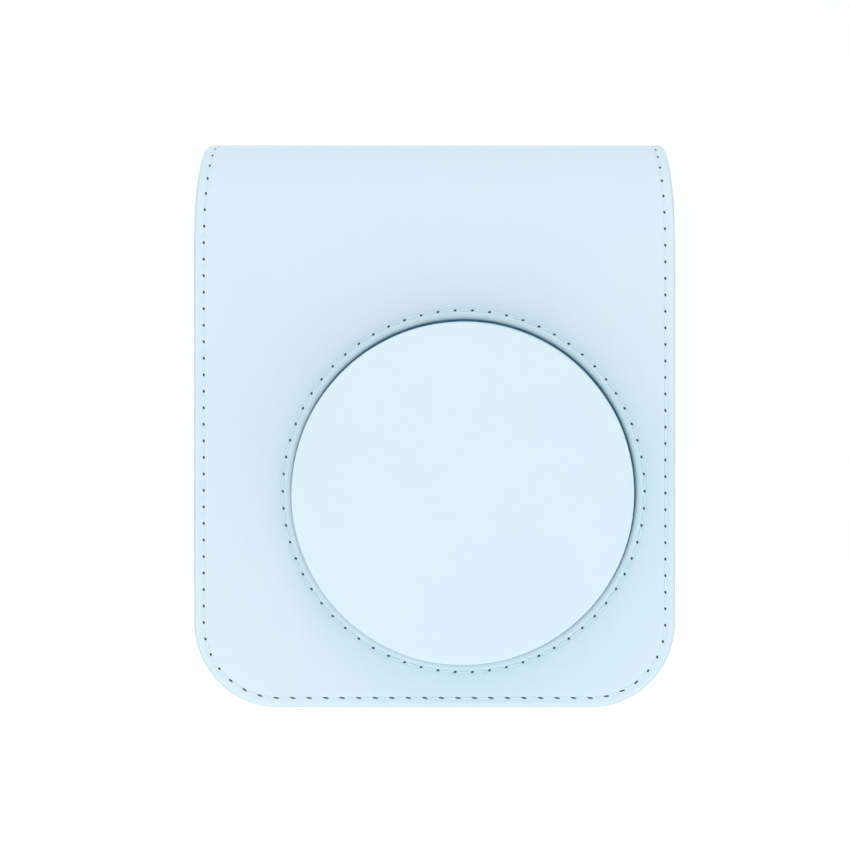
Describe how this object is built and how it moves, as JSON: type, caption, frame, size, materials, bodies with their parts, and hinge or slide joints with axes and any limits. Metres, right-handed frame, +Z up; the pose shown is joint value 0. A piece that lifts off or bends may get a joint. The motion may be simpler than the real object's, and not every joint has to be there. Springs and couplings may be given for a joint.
{
  "type": "instant camera in carrying case",
  "caption": "Boxy instant camera inside a fitted pale blue leatherette case; padded round lens cup, bottom-hinged front cover.",
  "frame": {"origin": "centre of the footprint, on the surface the case stands on", "axes": "+Z up, front (lens cup) faces -Y, +X to the right as seen from the front"},
  "size_m": [0.1196, 0.07, 0.1329],
  "materials": {
    "leather": "soft grained",
    "leather_rim": "smooth",
    "edge_paint": "smooth",
    "lining": "napped",
    "board": "plain",
    "padding": "foam",
    "magnet": "plated",
    "clear_film": "clear",
    "ring_metal": "polished",
    "shell_plastic": "satin moulded",
    "white_plastic": "moulded",
    "dark_plastic": "moulded",
    "optic_glass": "coated",
    "silver": "polished",
    "steel": "brushed",
    "roller_rubber": "matte",
    "board_green": "lacquered",
    "cell_wrap": "film wrap",
    "film_base": "glossy film",
    "sensor_dark": "polished"
  },
  "bodies": {
    "case_and_camera": {"band_skin": "leather", "band_board": "board", "band_lining": "lining", "back_skin": "leather", "back_board": "board", "back_lining": "lining", "rear_lip": "leather", "rear_lip_magnets": "magnet", "counter_window": "clear_film", "base_hinge_strip": "leather", "ring_tabs": "leather", "camera_front_housing": "shell_plastic", "camera_rear_housing": "shell_plastic", "film_door": "shell_plastic", "battery_door": "shell_plastic", "body_screws": "steel", "light_sensors": "sensor_dark", "finder_tube": "dark_plastic", "finder_lenses": "optic_glass", "lens_barrel": "white_plastic", "barrel_bezel": "white_plastic", "selfie_mirror": "silver", "lens_cell": "dark_plastic", "lens_elements": "optic_glass", "shutter_plate": "dark_plastic", "light_tunnel": "dark_plastic", "film_chamber": "dark_plastic", "film_pack": "dark_plastic", "film_sheets": "film_base", "roller_brackets": "steel", "film_motor": "steel", "button_spring": "steel", "flash_window": "clear_film", "flash_reflector": "silver", "flash_tube": "optic_glass", "circuit_board": "board_green", "flash_capacitor": "cell_wrap", "batteries": "cell_wrap", "battery_tray": "dark_plastic"},
    "front_cover": {"cover_skin": "leather", "cover_front_board": "board", "cover_top_board": "board", "cover_lining": "lining", "cover_magnets": "magnet", "cover_hinge_strip": "leather", "cup_face_skin": "leather", "cup_face_foam": "padding", "cup_face_board": "board", "cup_lining": "lining", "cup_wall_skin": "leather_rim", "cup_wall_stiffener": "board", "cup_seam_band": "edge_paint"},
    "strap_ring_right": {"ring_right": "ring_metal"},
    "strap_ring_left": {"ring_left": "ring_metal"},
    "shutter_key": {"shutter_button": "white_plastic"},
    "dial": {"exposure_dial": "shell_plastic"},
    "front_roller": {"roller_front": "roller_rubber"},
    "rear_roller": {"roller_rear": "roller_rubber"},
    "drive_pinion": {"motor_pinion": "white_plastic"}
  },
  "joints": [
    {"name": "cover_open", "type": "hinge", "parent": "case_and_camera", "child": "front_cover", "pos_m": [0, -0.01495, 0], "axis": [1, 0, 0], "range_deg": [0, 170]},
    {"name": "ring_right_swing", "type": "hinge", "parent": "case_and_camera", "child": "strap_ring_right", "pos_m": [0.0579, 0.025, 0.112], "axis": [0, -1, 0], "range_deg": [0, 170]},
    {"name": "ring_left_swing", "type": "hinge", "parent": "case_and_camera", "child": "strap_ring_left", "pos_m": [-0.0579, 0.025, 0.112], "axis": [0, 1, 0], "range_deg": [0, 170]},
    {"name": "shutter_press", "type": "slide", "parent": "case_and_camera", "child": "shutter_key", "axis": [0, 1, 0], "range_m": [0, 0.001], "stiffness_N_per_m": 400, "deforming": ["button_spring"]},
    {"name": "dial_turn", "type": "hinge", "parent": "case_and_camera", "child": "dial", "pos_m": [0.0068, -0.0225, 0.0504], "axis": [0, -1, 0], "range_deg": [0, 60]},
    {"name": "roller_front_spin", "type": "hinge", "parent": "case_and_camera", "child": "front_roller", "pos_m": [0, 0.01235, 0.104], "axis": [1, 0, 0], "continuous": true},
    {"name": "roller_rear_spin", "type": "hinge", "parent": "case_and_camera", "child": "rear_roller", "pos_m": [0, 0.02005, 0.104], "axis": [1, 0, 0], "continuous": true},
    {"name": "pinion_spin", "type": "hinge", "parent": "case_and_camera", "child": "drive_pinion", "pos_m": [0.04, 0.00882, 0.09789], "axis": [1, 0, 0], "continuous": true}
  ],
  "couplings": [
    {"joint": "roller_rear_spin", "follows": "roller_front_spin", "ratio": -1},
    {"joint": "pinion_spin", "follows": "roller_front_spin", "ratio": -1.2}
  ]
}
